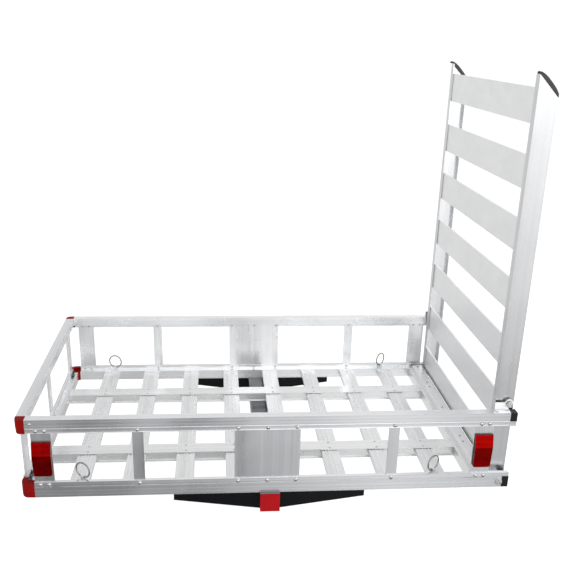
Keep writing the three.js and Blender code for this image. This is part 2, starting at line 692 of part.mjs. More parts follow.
function addShankPlug() {
  const half = SHANK / 2;
  const hollow = half - SHANK_WALL - SPIGOT_GAP;
  const middle = -GAP - half;
  const headBack = SHANK_FRONT - GAP;
  const head = box(-half, half, headBack - 3, headBack, middle - half, middle + half);
  const spigot = box(-hollow, hollow, headBack - 1, headBack + 16, middle - hollow, middle + hollow);
  place(carrier, 'shank_plug', carve([head, spigot]), redPlastic(), SHANK_X);
}

addSideRails();
addLeftRails();
addHingeRail();
addSidePosts();
addLeftPosts();
addCornerCaps();
addEndPlugs();
addDeckBars();
addSlats();
addRings();
addReflectors();
addStiles();
addRungs();
addHingeBolts();
addLatchPins();
addSubframe();
addShankPlug();
carrier.add(ramp);

// The origin is the middle of the shank's underside, straight below the hitch pin hole
carrier.position.set(-SHANK_X, -PIN_HOLE_Y, GAP + SHANK);
const hitchCarrier = new THREE.Group();
hitchCarrier.add(carrier);

export default hitchCarrier;
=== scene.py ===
import json
import math
import random

import bmesh
import bpy
from mathutils import Matrix, Vector


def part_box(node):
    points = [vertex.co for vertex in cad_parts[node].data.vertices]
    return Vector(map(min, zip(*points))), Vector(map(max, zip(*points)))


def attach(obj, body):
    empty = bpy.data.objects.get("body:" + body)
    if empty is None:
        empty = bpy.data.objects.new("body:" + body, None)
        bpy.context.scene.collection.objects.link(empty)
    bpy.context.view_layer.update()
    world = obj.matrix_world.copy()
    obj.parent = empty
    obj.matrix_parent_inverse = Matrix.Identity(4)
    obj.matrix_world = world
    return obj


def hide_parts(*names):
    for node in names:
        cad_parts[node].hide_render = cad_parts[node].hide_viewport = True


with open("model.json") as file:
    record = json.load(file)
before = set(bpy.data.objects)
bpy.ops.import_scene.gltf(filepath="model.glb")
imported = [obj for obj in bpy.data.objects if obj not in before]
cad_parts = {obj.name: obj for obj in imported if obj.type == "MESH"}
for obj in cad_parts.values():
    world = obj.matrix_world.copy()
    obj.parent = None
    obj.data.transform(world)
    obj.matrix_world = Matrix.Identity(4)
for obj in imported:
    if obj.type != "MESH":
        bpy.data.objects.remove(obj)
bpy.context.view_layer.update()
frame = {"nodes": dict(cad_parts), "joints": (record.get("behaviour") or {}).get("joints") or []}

nodes = frame["nodes"]
MM = 0.001
UP = Vector((0, 0, 1))
SIDES = {"front": -1, "rear": 1}  # the way each long side faces along y

FLOOR_Z = -0.44
CREASE = math.radians(34)  # edges sharper than this shade crisp
BEVEL_ANGLE = math.radians(38)

# rails
FLANGE_INSET = 1.5 * MM  # a flange's outer face, behind the outer face of its rail's box
LIP_INSET = 13.5 * MM  # inner side of the lower rails' inner lip, behind the same face
UPPER_BOX = 24 * MM  # height of the upper rails' box
END_REACH = 18.6 * MM  # from the far end of an upper rail or its plug back to the end of the rail's box
UPPER_BOLT_UP = 7.2 * MM  # lines of bolts, above the upper and the lower rails' feet
LOWER_BOLT_UP = 35.6 * MM
STRIP_TOP_UP = 41.6 * MM  # tops of the channel strips, above the lower rails' feet
STRIP_THICK = 1.2 * MM
STRIP_GAP = 0.4 * MM  # between a channel strip and the post beside it
BEAD_UP = 1.2 * MM  # lower bead, above an upper rail's foot
BEAD_SHORT = 0.5 * MM  # distance that a bead stops short of the rail's end

# hitch subframe
SCREW_XS = (-0.205, -0.075, 0.075, 0.205)
WEB_DOWN = 5 * MM  # underside of the brackets' web, below their tops
BRACKET_WIDTH = 30 * MM
SHANK_HALF = 25.4  # half of the shank's width in mm
SEAM_BEADS = 14  # weld beads in each upright seam beside the shank
SEAM_DOWN = 4  # first of them below the brackets' tops, and the pitch of the others, in mm
SEAM_PITCH = 3.1

# tie-down rings
RING_RADIUS = 20.5 * MM  # to the middle of the wire
WIRE_RADIUS = 1.9 * MM
WELD_AT = 160  # degrees round from the hinge's axis
WELD_SPREAD = 7
WELD_SWELL = 0.13  # share by which the weld is thicker than the wire


# ---------------------------------------------------------------- camera, floor and light

def make_camera():
    """The photo's camera, fitted from the rails' edges"""
    yaw, pitch, roll = -0.0902045, 0.3689981, -0.0260325
    turn = Matrix.Rotation(yaw, 3, "Z") @ Matrix.Rotation(-pitch, 3, "X") @ Matrix.Rotation(roll, 3, "Y")
    right, forward, up = turn.col[0], turn.col[1], turn.col[2]
    data = bpy.data.cameras.new("camera")
    data.sensor_width = 36
    data.lens = 48.7106
    data.shift_x = 0.00891
    data.shift_y = 0.08652
    data.clip_start = 0.05
    data.clip_end = 60
    camera = bpy.data.objects.new("camera", data)
    pose = Matrix((right, up, -forward)).transposed().to_4x4()
    pose.translation = Vector((-0.136097, -2.661060, 1.149051))
    camera.matrix_world = pose
    bpy.context.scene.collection.objects.link(camera)
    bpy.context.scene.camera = camera


def make_floor():
    """White paper well below the carrier, which the metal doesn't mirror"""
    mesh = bpy.data.meshes.new("floor")
    half = 14.0
    corners = [(-half, -half, 0), (half, -half, 0), (half, half, 0), (-half, half, 0)]
    mesh.from_pydata(corners, [], [(0, 1, 2, 3)])
    floor = bpy.data.objects.new("floor", mesh)
    floor.location.z = FLOOR_Z
    bpy.context.scene.collection.objects.link(floor)
    floor.visible_glossy = False
    material = bpy.data.materials.new("floor_paper")
    material.use_nodes = True
    shader = material.node_tree.nodes["Principled BSDF"]
    shader.inputs["Base Color"].default_value = (0.93, 0.93, 0.93, 1)
    shader.inputs["Emission Color"].default_value = (1, 1, 1, 1)
    shader.inputs["Emission Strength"].default_value = 0.37
    shader.inputs["Roughness"].default_value = 0.9
    shader.inputs["Specular IOR Level"].default_value = 0.1
    mesh.materials.append(material)


def feed(tree, socket, value):
    """A socket set to a number, or linked to another node's output"""
    if isinstance(value, (int, float)):
        socket.default_value = value
    else:
        tree.links.new(value, socket)


def math_node(tree, operation, a, b=0.0, clamp=False):
    node = tree.nodes.new("ShaderNodeMath")
    node.operation = operation
    node.use_clamp = clamp
    feed(tree, node.inputs[0], a)
    feed(tree, node.inputs[1], b)
    return node.outputs[0]


def blend(tree, share, first, second):
    """first where share is 0, second where it is 1"""
    node = tree.nodes.new("ShaderNodeMix")
    node.data_type = "FLOAT"
    for place, value in ((0, share), (2, first), (3, second)):
        feed(tree, node.inputs[place], value)
    return node.outputs[0]


def make_world():
    """What the metal mirrors: bright above and behind, dark low down in front round one bright panel.

    The camera itself sees plain white."""
    world = bpy.data.worlds.new("studio")
    bpy.context.scene.world = world
    world.use_nodes = True
    tree = world.node_tree
    split = tree.nodes.new("ShaderNodeSeparateXYZ")
    tree.links.new(tree.nodes.new("ShaderNodeTexCoord").outputs["Generated"], split.inputs[0])
    x, y, z = split.outputs

    def plus(a, b, clamp=False):
        return math_node(tree, "ADD", a, b, clamp)

    def times(a, b):
        return math_node(tree, "MULTIPLY", a, b)

    def band(value, stops):
        node = tree.nodes.new("ShaderNodeValToRGB")
        elements = node.color_ramp.elements
        while len(elements) < len(stops):
            elements.new(0.5)
        for element, (place, shade) in zip(elements, stops):
            element.position = place
            element.color = (shade, shade, shade, 1)
        tree.links.new(value, node.inputs[0])
        return node.outputs[0]

    height = times(plus(z, 1.0), 0.5)  # 0 straight down, 1 straight up
    sideways = times(plus(x, 1.0), 0.5)  # 0 left, 1 right
    # low down in front: dark, with a bright panel right of the middle, and darkest underneath
    deep = band(height, [(0.0, 0.12), (0.09, 0.22), (0.18, 1.0)])
    across = band(sideways, [(0.0, 0.28), (0.40, 0.21), (0.47, 0.21), (0.505, 0.26), (0.53, 0.38),
                             (0.555, 0.56), (0.59, 0.88), (0.62, 0.92), (0.645, 0.78), (0.68, 0.36),
                             (1.0, 0.36)])
    # higher up in front: brightest at the horizon, and again right of the middle
    rise = band(height, [(0.29, 0.62), (0.325, 0.74), (0.375, 0.88), (0.45, 1.15), (0.5, 1.85),
                         (0.575, 1.6), (0.75, 1.2), (0.90, 0.65), (1.0, 0.5)])
    sway = band(sideways, [(0.0, 0.62), (0.38, 0.64), (0.42, 0.95), (0.465, 1.0), (0.52, 1.16),
                           (0.555, 1.80), (0.59, 2.0), (0.635, 1.40), (0.67, 0.96), (1.0, 0.9)])
    above_low = plus(times(z, 14.0), 5.6, clamp=True)
    front = blend(tree, above_low, times(across, deep), times(rise, sway))
    # behind: even, with a little more on the right
    back = band(height, [(0.2, 0.78), (0.34, 0.93), (0.5, 1.02), (0.60, 0.95), (0.665, 0.84),
                         (0.75, 0.82), (0.84, 0.80), (0.97, 0.64)])
    even_back = times(back, math_node(tree, "MINIMUM", plus(times(x, 0.38), 1.0), 1.1))
    # behind, up to a little above the horizon: greyer everywhere but on the left
    greyer = band(sideways, [(0.08, 0.64), (0.2, 0.97), (0.42, 1.0), (0.48, 0.78), (0.62, 0.60), (1.0, 0.54)])
    near_floor = plus(times(z, -6.0), 1.2, clamp=True)
    drop = times(near_floor, math_node(tree, "SUBTRACT", greyer, 1.0))
    behind = times(even_back, plus(drop, 1.0))
    in_front = plus(times(y, -1.6), 0.35, clamp=True)
    mirrored = blend(tree, in_front, behind, front)
    seen = tree.nodes.new("ShaderNodeLightPath").outputs["Is Camera Ray"]
    sky = tree.nodes["Background"]
    sky.inputs["Color"].default_value = (1, 1, 1, 1)
    tree.links.new(blend(tree, seen, mirrored, 1.05), sky.inputs["Strength"])


def area_light(name, place, target, size, power):
    """A soft light that lights the plastics and the floor but isn't mirrored in the metal"""
    data = bpy.data.lights.new(name, "AREA")
    data.shape = "RECTANGLE"
    data.size, data.size_y = size
    data.energy = power
    light = bpy.data.objects.new(name, data)
    light.location = place
    light.rotation_euler = (Vector(target) - Vector(place)).to_track_quat("-Z", "Y").to_euler()
    light.visible_glossy = False
    bpy.context.scene.collection.objects.link(light)


def make_lights():
    area_light("overhead", (0.3, -0.8, 3.4), (0, -0.5, 0), (3.2, 2.2), 24)
    area_light("side", (2.6, -2.6, 2.2), (0.2, -0.6, 0.2), (1.2, 1.2), 16)


# ---------------------------------------------------------------- materials

class Surface:
    """A Principled material and the few node patterns that the finishes below are made from"""

    def __init__(self, name):
        self.material = bpy.data.materials.new(name)
        self.material.use_nodes = True
        self.tree = self.material.node_tree
        self.shader = self.tree.nodes["Principled BSDF"]
        self.coords = self.tree.nodes.new("ShaderNodeTexCoord").outputs["Object"]

    def link(self, a, b):
        self.tree.links.new(a, b)

    def put(self, **values):
        for name, value in values.items():
            self.shader.inputs[name.replace("_", " ")].default_value = value

    def scaled(self, scale):
        mapping = self.tree.nodes.new("ShaderNodeMapping")
        mapping.inputs["Scale"].default_value = scale
        self.link(self.coords, mapping.inputs["Vector"])
        return mapping.outputs[0]

    def noise(self, scale, detail=2.0, roughness=0.5):
        texture = self.tree.nodes.new("ShaderNodeTexNoise")
        texture.inputs["Scale"].default_value = 1.0
        texture.inputs["Detail"].default_value = detail
        texture.inputs["Roughness"].default_value = roughness
        self.link(self.scaled(scale if isinstance(scale, tuple) else (scale,) * 3), texture.inputs["Vector"])
        return texture.outputs["Fac"]

    def waves(self, axis, pitch):
        split = self.tree.nodes.new("ShaderNodeSeparateXYZ")
        self.link(self.coords, split.inputs[0])
        turned = math_node(self.tree, "MULTIPLY", split.outputs["XYZ".index(axis)], 2 * math.pi / pitch)
        return math_node(self.tree, "SINE", turned)

    def facing(self, axis):
        """How far the surface faces along an axis, from -1 to 1"""
        split = self.tree.nodes.new("ShaderNodeSeparateXYZ")
        self.link(self.tree.nodes.new("ShaderNodeNewGeometry").outputs["Normal"], split.inputs[0])
        return split.outputs["XYZ".index(axis)]

    def sum(self, *terms):
        total = None
        for value, weight in terms:
            part = math_node(self.tree, "MULTIPLY", value, weight)
            total = part if total is None else math_node(self.tree, "ADD", total, part)
        return total

    def spread(self, value, low, high, start, end):
        node = self.tree.nodes.new("ShaderNodeMapRange")
        for name, number in zip(("From Min", "From Max", "To Min", "To Max"), (start, end, low, high)):
            node.inputs[name].default_value = number
        self.link(value, node.inputs["Value"])
        return node.outputs[0]

    def colour(self, value, dark, light, start, end):
        ramp = self.tree.nodes.new("ShaderNodeValToRGB")
        first, last = ramp.color_ramp.elements
        first.position, last.position = start, end
        first.color = (*dark, 1)
        last.color = (*light, 1)
        self.link(value, ramp.inputs[0])
        self.link(ramp.outputs[0], self.shader.inputs["Base Color"])

    def rough(self, value, low, high, start=0.3, end=0.7):
        self.link(self.spread(value, low, high, start, end), self.shader.inputs["Roughness"])

    def bump(self, height, strength, distance):
        node = self.tree.nodes.new("ShaderNodeBump")
        node.inputs["Strength"].default_value = strength
        node.inputs["Distance"].default_value = distance
        self.link(height, node.inputs["Height"])
        self.link(node.outputs[0], self.shader.inputs["Normal"])


def along(axis, fine, slow):
    """Noise scale that is fine across an extrusion and slow along it"""
    return tuple(slow if name == axis else fine for name in "XYZ")


def extruded(name, axis, tint, lines=1.0, ribs=None, metal=1.0, painted_light_tops_metal=None):
    """Mill-finish aluminium: long die lines, faint oxide clouds, and the ribs that some sections carry.

    ribs is (axis across them, pitch, weight in the bump, weight of a painted shade in the colour that darkens
    the grooves and lightens the crests), and the last argument is a metallic for the tops alone:
    painted light, for sections whose tops should read lighter or darker than their upright faces."""
    s = Surface(name)
    stripes = s.noise(along(axis, 110, 0.3), 0)
    bands = s.noise(along(axis, 34, 0.2), 1)
    cloud = s.noise(7, 3)
    shade = s.sum((bands, 0.40), (stripes, 0.30), (cloud, 0.30))
    height = s.sum((stripes, 0.7 * lines), (bands, 2.2 * lines))
    if ribs:
        across, pitch, relief, painted_groove_shade = ribs
        wave = s.waves(across, pitch)
        # painted shade: the wave that raises the ribs also darkens their grooves and lightens their crests in
        # the colour
        shade = s.sum((shade, 1.0), (wave, painted_groove_shade))
        height = s.sum((height, 1.0), (wave, relief))
    s.colour(shade, [c * 0.93 for c in tint], [min(1.0, c * 1.05) for c in tint], 0.36, 0.64)
    s.rough(s.sum((cloud, 0.6), (bands, 0.4)), 0.22, 0.34, 0.36, 0.64)
    s.bump(height, 0.16, 0.0004)
    if painted_light_tops_metal is None:
        s.put(Metallic=metal)
    else:
        # painted light: metallic follows the facing, so tops and upright faces of one metal read lighter or
        # darker than one another
        s.link(s.spread(s.facing("Z"), metal, painted_light_tops_metal, 0.45, 0.85), s.shader.inputs["Metallic"])
    return s.material


def satin_plate(name, axis, dark, light, metal=1.0):
    """Smooth satin aluminium plate, faintly mottled"""
    s = Surface(name)
    cloud = s.noise(26, 5, 0.65)
    wide = s.noise(5, 3)
    fine = s.noise(along(axis, 700, 14), 2)
    s.colour(s.sum((cloud, 0.5), (wide, 0.3), (fine, 0.2)), dark, light, 0.36, 0.64)
    mottle = s.sum((cloud, 0.6), (fine, 0.4))
    s.rough(mottle, 0.34, 0.50, 0.36, 0.64)
    s.bump(mottle, 0.08, 0.0003)
    s.put(Metallic=metal)
    return s.material


def moulded(name, dark, light, rough, level, grain=900):
    """Moulded plastic: a fine spark grain, slow sink marks and scuffs"""
    s = Surface(name)
    fine = s.noise(grain, 3, 0.6)
    slow = s.noise(38, 3)
    scuff = s.noise((420, 60, 900), 2)
    s.colour(s.sum((slow, 0.65), (fine, 0.35)), dark, light, 0.35, 0.65)
    s.rough(s.sum((fine, 0.4), (scuff, 0.6)), rough - 0.06, rough + 0.12, 0.36, 0.66)
    s.bump(s.sum((fine, 0.5), (slow, 1.2)), 0.12, 0.0004)
    s.put(Specular_IOR_Level=level)
    return s.material


def lens(name):
    """Deep red reflector: rows of small corner prisms over a mirror back, with painted shade that darkens the
    faces turned away from -y, its moulded sides among them
    """
    s = Surface(name)
    cells = s.tree.nodes.new("ShaderNodeTexVoronoi")
    cells.feature = "F1"
    cells.inputs["Scale"].default_value = 1.0
    cells.inputs["Randomness"].default_value = 0.0
    s.link(s.scaled((310, 310, 360)), cells.inputs["Vector"])
    slow = s.noise(45, 2)
    # painted shade: full colour only on faces turned straight out along -y, a fifth of it on the rest
    outward = s.spread(s.facing("Y"), 1.0, 0.2, -0.93, -0.6)
    pattern = s.sum((cells.outputs["Distance"], 0.5), (slow, 0.5))
    s.colour(math_node(s.tree, "MULTIPLY", pattern, outward),
             (0.075, 0.0004, 0.0003), (0.345, 0.0012, 0.0008), 0.1, 0.75)
    s.bump(cells.outputs["Distance"], 0.06, 0.0008)
    s.rough(slow, 0.22, 0.32)
    s.put(Specular_IOR_Level=0.06, Metallic=0.85)
    return s.material


def coated_steel(name):
    """Black powder coat: slight orange peel, greyer rubbed patches, and a painted sheen on the tops:
    up-facing faces turn lighter grey and metallic
    """
    s = Surface(name)
    peel = s.noise(420, 3, 0.55)
    rub = s.noise((9, 6, 14), 5, 0.65)
    # painted sheen: up-facing faces get the lighter grey colour and full metallic
    top = s.spread(s.facing("Z"), 0.0, 1.0, 0.5, 0.9)
    s.colour(s.sum((rub, 0.02), (top, 0.9)), (0.0018, 0.0022, 0.0032), (0.13, 0.135, 0.145), 0.0, 0.92)
    s.rough(s.sum((rub, 0.7), (peel, 0.3)), 0.16, 0.32, 0.36, 0.64)
    s.bump(peel, 0.10, 0.0005)
    s.link(top, s.shader.inputs["Metallic"])
    s.put(Specular_IOR_Level=0.15)
    return s.material


def plated(name, tint, rough):
    """Bright zinc plate with a faint bloom"""
    s = Surface(name)
    bloom = s.noise(230, 4, 0.6)
    turn = s.noise(1500, 2)
    s.colour(bloom, [c * 0.78 for c in tint], [min(1, c * 1.14) for c in tint], 0.36, 0.66)
    s.rough(bloom, rough - 0.06, rough + 0.14, 0.36, 0.66)
    s.bump(s.sum((turn, 0.5), (bloom, 0.5)), 0.10, 0.0002)
    s.put(Metallic=1.0)
    return s.material


FINISH = {
    "rail_x": extruded("rail_x", "X", (0.87, 0.88, 0.90), ribs=("Z", 0.0092, 0.5, 0.03)),
    # painted light: the rear rails, rear posts and rear panel are lighter copies of the front ones'
    # aluminium, paler in tint and less metallic, for the light that falls on the rear side
    "rail_x_rear_painted_lighter": extruded("rail_x_rear_painted_lighter", "X", (0.90, 0.91, 0.92), lines=0.5, metal=0.75, painted_light_tops_metal=1.0),
    "rail_y": extruded("rail_y", "Y", (0.82, 0.83, 0.845)),
    "hinge_rail": extruded("hinge_rail", "Y", (0.93, 0.935, 0.94), painted_light_tops_metal=0.75),
    "post_end": extruded("post_end", "Z", (0.86, 0.865, 0.88), metal=0.55),
    "post": extruded("post", "Z", (0.70, 0.71, 0.73)),
    "post_rear_painted_lighter": extruded("post_rear_painted_lighter", "Z", (0.86, 0.87, 0.88), lines=0.5, metal=0.75),
    "corner_post": extruded("corner_post", "Z", (0.77, 0.78, 0.80), ribs=("X", 0.0065, 0.5, 0.05)),
    "panel": extruded("panel", "Z", (0.735, 0.745, 0.765), lines=1.2),
    "panel_rear_painted_lighter": extruded("panel_rear_painted_lighter", "Z", (0.93, 0.935, 0.94), lines=0.6, metal=0.6),
    "deck_bar": extruded("deck_bar", "X", (0.88, 0.885, 0.89), lines=0.6, metal=0.65, painted_light_tops_metal=0.95),
    "slat": extruded("slat", "Y", (0.87, 0.875, 0.88), ribs=("X", 0.0122, 0.5, 0.06), metal=0.8),
    "stile": extruded("stile", "Z", (0.69, 0.695, 0.705), lines=0.5),
    "rung": satin_plate("rung", "Y", (0.93, 0.935, 0.94), (0.985, 0.99, 0.995)),
    "bright_plate": satin_plate("bright_plate", "X", (0.93, 0.93, 0.93), (0.97, 0.97, 0.97), 0.25),
    "cap": moulded("cap", (0.185, 0.0022, 0.0014), (0.245, 0.0040, 0.0024), 0.38, 0.04),
    "shank_plug": moulded("shank_plug", (0.31, 0.0030, 0.0052), (0.37, 0.0045, 0.0075), 0.42, 0.07),
    "plug": moulded("plug", (0.0040, 0.0040, 0.0045), (0.009, 0.009, 0.010), 0.42, 0.25, 700),
    "trim": moulded("trim", (0.045, 0.045, 0.047), (0.075, 0.075, 0.078), 0.6, 0.2, 600),
    # painted shadow: grey for the strip that darkens the gap between the hinge rail and the closed ramp
    "gap_shadow_grey": moulded("gap_shadow_grey", (0.11, 0.11, 0.115), (0.16, 0.16, 0.165), 0.6, 0.2, 600),
    "lens": lens("lens"),
    "coated_steel": coated_steel("coated_steel"),
    "plated": plated("plated", (0.70, 0.70, 0.695), 0.26),
    "wire": plated("wire", (0.36, 0.36, 0.36), 0.20),
    "dark_nut": plated("dark_nut", (0.17, 0.17, 0.175), 0.30),
    "rivet": plated("rivet", (0.66, 0.66, 0.665), 0.30),
}

# start of a CAD node's name, its finish and its bevel in mm; the first row that fits is used
CAD_FINISH = [
    ("rail_upper_left", "rail_y", 1.2), ("rail_lower_left", "rail_y", 1.2), ("rail_hinge", "hinge_rail", 1.1),
    ("rail_upper_rear", "rail_x_rear_painted_lighter", 1.2), ("rail_lower_rear", "rail_x_rear_painted_lighter", 1.2),
    ("rail_", "rail_x", 1.2),
    ("post_corner_rear", "post_rear_painted_lighter", 0.5), ("post_narrow_rear", "post_rear_painted_lighter", 0.6),
    ("post_left", "post_end", 0.5), ("post_corner", "corner_post", 0.5), ("post_", "post", 0.6),
    ("panel_centre_rear", "panel_rear_painted_lighter", 0.3), ("panel_", "panel", 0.3),
    ("cap_", "cap", 1.1), ("plug_", "plug", 0.9),
    ("deck_bar", "deck_bar", 0.5), ("deck_slat", "slat", 0.3), ("reflector", "lens", 2.4),
    ("ramp_stile", "stile", 0.7), ("ramp_rung", "rung", 0.5),
    ("hinge_bolt", "plated", 0.5), ("latch_pin", "plated", 0.5), ("ring_", "wire", 0.0),
    ("hitch_subframe", "coated_steel", 1.4), ("shank_plug", "shank_plug", 1.6),
]


def smooth_by_angle(mesh, limit):
    """Flat faces shade flat and rounds shade round; edges sharper than the limit stay crisp"""
    stored = mesh.attributes.get("custom_normal")
    if stored:
        mesh.attributes.remove(stored)
    mesh.shade_smooth()
    mesh.set_sharp_from_angle(angle=limit)


def finish_cad_nodes():
    """Each CAD node gets its finish and softened edges; its mesh is left as it is"""
    for name, obj in nodes.items():
        smooth_by_angle(obj.data, CREASE)
        finish, bevel = next((f, b) for start, f, b in CAD_FINISH if name.startswith(start))
        obj.data.materials.clear()
        obj.data.materials.append(FINISH[finish])
        if bevel:
            modifier = obj.modifiers.new("edges", "BEVEL")
            modifier.width = bevel * MM
            modifier.segments = 2
            modifier.limit_method = "ANGLE"
            modifier.angle_limit = BEVEL_ANGLE
            modifier.use_clamp_overlap = True
            modifier.harden_normals = True


# ---------------------------------------------------------------- small pieces

def outer_y(box, out):
    """y of a box's face on the side that out points to, -1 or 1"""
    low, high = box
    return low.y if out < 0 else high.y


def turning_axes(axis):
    """Unit vectors along an axis and two ways across it"""
    up = Vector(axis).normalized()
    side = up.orthogonal().normalized()
    return up, side, up.cross(side)


def skin(bm, hoops, closed=False):
    """Faces between neighbouring hoops of vertices; an open run gets a cap at each end"""
    following = hoops[1:] + hoops[:1] if closed else hoops[1:]
    for one, two in zip(hoops, following):
        for k in range(len(one)):
            n = (k + 1) % len(one)
            bm.faces.new((one[k], one[n], two[n], two[k]))
    if not closed:
        bm.faces.new(hoops[0])
        bm.faces.new(hoops[-1][::-1])


def add_block(bm, low, high):
    """Box between two corners given in metres"""
    corners = [bm.verts.new((x, y, z))
               for z in (low[2], high[2]) for y in (low[1], high[1]) for x in (low[0], high[0])]
    for face in ((0, 2, 3, 1), (4, 5, 7, 6), (0, 1, 5, 4), (2, 6, 7, 3), (0, 4, 6, 2), (1, 3, 7, 5)):
        bm.faces.new([corners[k] for k in face])


def turned_ring(bm, profile, centre, axis, segments):
    """Ring turned on an axis from a loop of (radius, height) in mm"""
    centre = Vector(centre)
    up, side, other = turning_axes(axis)
    hoops = []
    for i in range(segments):
        a = 2 * math.pi * i / segments
        out = side * math.cos(a) + other * math.sin(a)
        hoops.append([bm.verts.new(centre + out * r * MM + up * h * MM) for r, h in profile])
    skin(bm, hoops, closed=True)


def lathe(bm, profile, centre, axis, segments=18):
    """Turned shape on an axis: profile is (radius, height) in mm, from axis to axis"""
    centre = Vector(centre)
    up, side, other = turning_axes(axis)
    rings = []
    for radius, height in profile:
        middle = centre + up * (height * MM)
        if radius == 0:
            rings.append([bm.verts.new(middle)])
            continue
        angles = [2 * math.pi * (i + 0.5) / segments for i in range(segments)]
        rings.append([bm.verts.new(middle + (side * math.cos(a) + other * math.sin(a)) * radius * MM)
                      for a in angles])
    for low, high in zip(rings, rings[1:]):
        for i in range(segments):
            j = (i + 1) % segments
            corners = [low[i % len(low)], low[j % len(low)], high[j % len(high)], high[i % len(high)]]
            bm.faces.new(list(dict.fromkeys(corners)))


def make_piece(name, bm, finish, body):
    """A finished object from a bmesh, with sharp edges kept sharp, riding on a body"""
    bmesh.ops.recalc_face_normals(bm, faces=bm.faces)
    for face in bm.faces:
        face.smooth = True
    for edge in bm.edges:
        if len(edge.link_faces) == 2 and edge.calc_face_angle() > CREASE:
            edge.smooth = False
    mesh = bpy.data.meshes.new(name)
    bm.to_mesh(mesh)
    bm.free()
    mesh.materials.append(FINISH[finish])
    obj = bpy.data.objects.new(name, mesh)
    bpy.context.scene.collection.objects.link(obj)
    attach(obj, body)
    return obj


def bolt_head(bm, centre, axis, radius=5.4, height=3.6):
    shape = [(0, -0.1), (1, 0), (1, 0.16), (0.96, 0.36), (0.84, 0.62), (0.62, 0.84), (0.32, 0.97), (0, 1)]
    lathe(bm, [(r * radius, h * height) for r, h in shape], centre, axis)


def rivet_head(bm, centre, axis, radius=3.2, height=1.3):
    shape = [(0, -0.2), (1, 0), (1, 0.25), (0.9, 0.62), (0.68, 0.9), (0.42, 1), (0.34, 0.72), (0, 0.66)]
    lathe(bm, [(r * radius, h * height) for r, h in shape], centre, axis, 16)


def nut(bm, centre, axis):
    """Hexagon nut on a washer, with the bolt's end standing out of it"""
    lathe(bm, [(0, 0), (6.6, 0), (6.6, 0.9), (0, 0.9)], centre, axis, 20)
    lathe(bm, [(0, 0.9), (5.4, 0.9), (5.4, 4.1), (4.752, 4.6), (0, 4.6)], centre, axis, 6)
    lathe(bm, [(0, 4.4), (2.6, 4.4), (2.6, 6.2), (2.1, 6.7), (0, 6.7)], centre, axis, 14)


def long_side_posts(side):
    """Boxes of a long side's posts and centre panel, from the closed end to the ramp's end"""
    names = (f"post_corner_{side}_left", f"post_narrow_{side}_left", f"panel_centre_{side}",
             f"post_narrow_{side}_right", f"post_corner_{side}_right")
    return [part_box(name) for name in names]


# bolts across each of those, and across each post of the closed end, in mm from its middle
SIDE_BOLTS = [(-10.6, 10.6), (0,), (-74, 0, 74), (0,), (-10.6, 10.6)]
END_BOLTS = {"front": (-9, 9), "middle": (0,), "rear": (-9, 9)}


def add_side_bolts():
    """Bolts through the long sides' posts, with nuts inside the front and low domes inside the rear"""
    heads = bmesh.new()
    nuts = bmesh.new()
    for side, out in SIDES.items():
        upper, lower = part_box(f"rail_upper_{side}"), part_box(f"rail_lower_{side}")
        face = outer_y(upper, out)
        inner = outer_y(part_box(f"panel_centre_{side}"), -out)
        lines = ((upper[0].z + UPPER_BOLT_UP, inner), (lower[0].z + LOWER_BOLT_UP, face - out * LIP_INSET))
        for (low, high), offsets in zip(long_side_posts(side), SIDE_BOLTS):
            for offset in offsets:
                x = (low.x + high.x) / 2 + offset * MM
                for z, back in lines:
                    bolt_head(heads, (x, face - out * FLANGE_INSET, z), (0, out, 0))
                    if side == "rear":
                        rivet_head(nuts, (x, back, z), (0, -out, 0), 4.2, 1.4)
                    else:
                        nut(nuts, (x, back, z), (0, -out, 0))
    make_piece("side_bolts", heads, "plated", "carrier")
    make_piece("side_nuts", nuts, "plated", "carrier")


def add_end_bolts():
    """Bolts through the closed end's posts, with their nuts inside the basket"""
    heads = bmesh.new()
    nuts = bmesh.new()
    upper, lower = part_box("rail_upper_left")[0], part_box("rail_lower_left")[0]
    for place, offsets in END_BOLTS.items():
        low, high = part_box(f"post_left_{place}")
        lines = ((upper.z + UPPER_BOLT_UP, high.x), (lower.z + LOWER_BOLT_UP, lower.x + LIP_INSET))
        for offset in offsets:
            y = (low.y + high.y) / 2 + offset * MM
            for z, back in lines:
                bolt_head(heads, (lower.x + FLANGE_INSET, y, z), (-1, 0, 0))
                nut(nuts, (back, y, z), (1, 0, 0))
    make_piece("end_bolts", heads, "plated", "carrier")
    make_piece("end_nuts", nuts, "dark_nut", "carrier")


DECK_BARS = [f"deck_bar_{place}" for place in ("front", "middle", "rear")]
SLATS = [f"deck_slat_{i}" for i in range(1, 9)]


def add_deck_rivets():
    """Rivets near both edges of the deck bars, above and below every slat"""
    bm = bmesh.new()
    inset = 9 * MM
    for bar in DECK_BARS:
        low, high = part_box(bar)
        for y in (low.y + inset, high.y - inset):
            for slat in SLATS:
                slat_low, slat_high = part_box(slat)
                x = (slat_low.x + slat_high.x) / 2
                rivet_head(bm, (x, y, high.z), (0, 0, 1))
                rivet_head(bm, (x, y, low.z), (0, 0, -1))
    make_piece("deck_rivets", bm, "rivet", "carrier")


def add_hinge_rail_rivets():
    """Rivets along the hinge rail's top: two at each deck bar, and a larger one near each end"""
    bm = bmesh.new()
    low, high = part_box("rail_hinge")
    edge_in, bar_in, end_in = 15.5 * MM, 8 * MM, 14 * MM
    x = high.x - edge_in
    for bar in DECK_BARS:
        bar_low, bar_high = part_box(bar)
        for y in (bar_low.y + bar_in, bar_high.y - bar_in):
            rivet_head(bm, (x, y, high.z), (0, 0, 1), 3.0, 1.2)
    for y in (low.y + end_in, high.y - end_in):
        rivet_head(bm, (x, y, high.z), (0, 0, 1), 3.4, 1.6)
    make_piece("hinge_rail_rivets", bm, "wire", "carrier")


